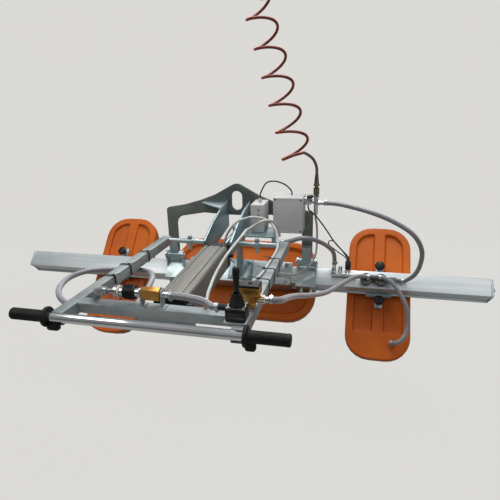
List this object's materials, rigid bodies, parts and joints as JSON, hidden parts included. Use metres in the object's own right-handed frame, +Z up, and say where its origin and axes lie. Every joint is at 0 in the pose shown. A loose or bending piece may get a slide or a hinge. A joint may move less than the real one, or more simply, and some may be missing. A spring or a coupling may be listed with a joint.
{
  "type": "vacuum sheet lifter",
  "caption": "Vacuum sheet lifter: a beam of suction pads on slides hangs tilted under a plate bail, with an air tilt cylinder, handlebar frame, valves and hoses.",
  "frame": {"origin": "centre of the lifting eye in the bail plate, midway through its thickness", "axes": "+Z up along the pull of the crane, +X along the beam towards the side of the air inlet, -Y towards the operator at the handlebar"},
  "size_m": [2.2746, 1.3066, 1.5699],
  "materials": {
    "bail_steel": "satin grey-green paint",
    "galvanised": "galvanised, dull",
    "zinc": "zinc plated",
    "dark_steel": "satin",
    "chrome": "polished",
    "beam_aluminium": "bright drawn",
    "barrel_aluminium": "anodised, satin",
    "black_plastic": "satin",
    "grip_rubber": "soft, fine grain",
    "boot_rubber": "soft",
    "seal_rubber": "closed-cell foam",
    "pad_orange": "satin polyurethane",
    "box_grey": "satin",
    "brass": "machined",
    "coupling_brass": "dull, tarnished",
    "hose_grey": "soft translucent PVC",
    "hose_orange": "polyurethane",
    "cable_black": "satin sheath"
  },
  "bodies": {
    "frame": {"bail_plate": "bail_steel", "bail_foot_left": "zinc", "bail_foot_right": "zinc", "hanger_left": "zinc", "hanger_right": "zinc", "handle_frame": "galvanised", "handlebar": "chrome", "grip_left": "grip_rubber", "grip_right": "grip_rubber", "lever_valve_body": "black_plastic", "valve_bellows": "boot_rubber", "brass_block": "brass", "slide_valve_body": "brass", "switch_box": "box_grey", "enclosure_box": "box_grey", "enclosure_lid": "box_grey", "link_cable": "cable_black", "inlet_tee": "chrome", "hose_socket": "coupling_brass", "air_hose_coil": "hose_orange", "air_hose_tail": "hose_orange", "ceiling_fitting": "chrome", "cylinder_barrel": "barrel_aluminium", "cylinder_rear_cap": "black_plastic", "cylinder_front_cap": "black_plastic", "cylinder_bracket": "zinc", "hose_left": "hose_grey", "hose_valves": "hose_grey", "hose_manifold": "hose_grey", "hose_supply": "hose_grey", "hose_gauge": "hose_grey", "sensor_cable": "cable_black"},
    "beam": {"beam_tube": "beam_aluminium", "end_cap_left": "black_plastic", "end_cap_right": "black_plastic", "centre_sleeve": "zinc", "pivot_clamp_left": "zinc", "pivot_clamp_right": "zinc", "tilt_lever": "dark_steel", "centre_pad": "pad_orange", "centre_seal": "seal_rubber", "manifold": "chrome", "vacuum_sensor": "black_plastic", "gauge_pair": "chrome", "hose_pad": "hose_grey"},
    "rod": {"cylinder_rod": "chrome", "rod_yoke": "zinc"},
    "left_carriage": {"left_holder": "dark_steel", "left_pad": "pad_orange", "left_seal": "seal_rubber"},
    "right_carriage": {"right_holder": "dark_steel", "right_pad": "pad_orange", "right_seal": "seal_rubber"},
    "left_knob_upper": {"left_knob_upper": "black_plastic"},
    "left_knob_lower": {"left_knob_lower": "black_plastic"},
    "right_knob_upper": {"right_knob_upper": "black_plastic"},
    "right_knob_lower": {"right_knob_lower": "black_plastic"},
    "valve_lever": {"valve_lever": "black_plastic"},
    "slide_valve_sleeve": {"slide_valve_sleeve": "black_plastic"},
    "coupling_sleeve": {"coupling_sleeve": "coupling_brass"}
  },
  "joints": [
    {"name": "tilt", "type": "hinge", "parent": "frame", "child": "beam", "pos_m": [0, 0, -0.277], "axis": [1, 0, 0], "range_deg": [-49.5, 40.5], "deforming": ["hose_manifold", "hose_supply", "hose_gauge", "sensor_cable"]},
    {"name": "rod_slide", "type": "slide", "parent": "frame", "child": "rod", "axis": [0, 0.9989, 0.0471], "range_m": [-0.098, 0.1197]},
    {"name": "left_pad_slide", "type": "slide", "parent": "beam", "child": "left_carriage", "axis": [1, 0, 0], "range_m": [-0.12, 0.12]},
    {"name": "right_pad_slide", "type": "slide", "parent": "beam", "child": "right_carriage", "axis": [1, 0, 0], "range_m": [-0.12, 0.12], "deforming": ["hose_pad"]},
    {"name": "left_knob_upper_turn", "type": "hinge", "parent": "left_carriage", "child": "left_knob_upper", "pos_m": [-0.65, 0.09215, -0.31415], "axis": [0, -0.7604, 0.6494], "continuous": true},
    {"name": "left_knob_lower_turn", "type": "hinge", "parent": "left_carriage", "child": "left_knob_lower", "pos_m": [-0.65, -0.01306, -0.43733], "axis": [0, -0.7604, 0.6494], "continuous": true},
    {"name": "right_knob_upper_turn", "type": "hinge", "parent": "right_carriage", "child": "right_knob_upper", "pos_m": [0.645, 0.09215, -0.31415], "axis": [0, -0.7604, 0.6494], "continuous": true},
    {"name": "right_knob_lower_turn", "type": "hinge", "parent": "right_carriage", "child": "right_knob_lower", "pos_m": [0.645, -0.01306, -0.43733], "axis": [0, -0.7604, 0.6494], "continuous": true},
    {"name": "valve_lever_tip", "type": "hinge", "parent": "frame", "child": "valve_lever", "pos_m": [0.24, -0.92, -0.0519], "axis": [1, 0, 0], "range_deg": [-12, 12], "stiffness_Nm_per_rad": 1.5},
    {"name": "slide_valve_shift", "type": "slide", "parent": "frame", "child": "slide_valve_sleeve", "axis": [1, 0, 0], "range_m": [-0.012, 0.006]},
    {"name": "coupling_release", "type": "slide", "parent": "frame", "child": "coupling_sleeve", "axis": [0, 0, 1], "range_m": [-0.0025, 0.005], "stiffness_N_per_m": 800}
  ],
  "couplings": [
    {"joint": "rod_slide", "follows": "tilt", "m_per_rad": -0.138}
  ]
}
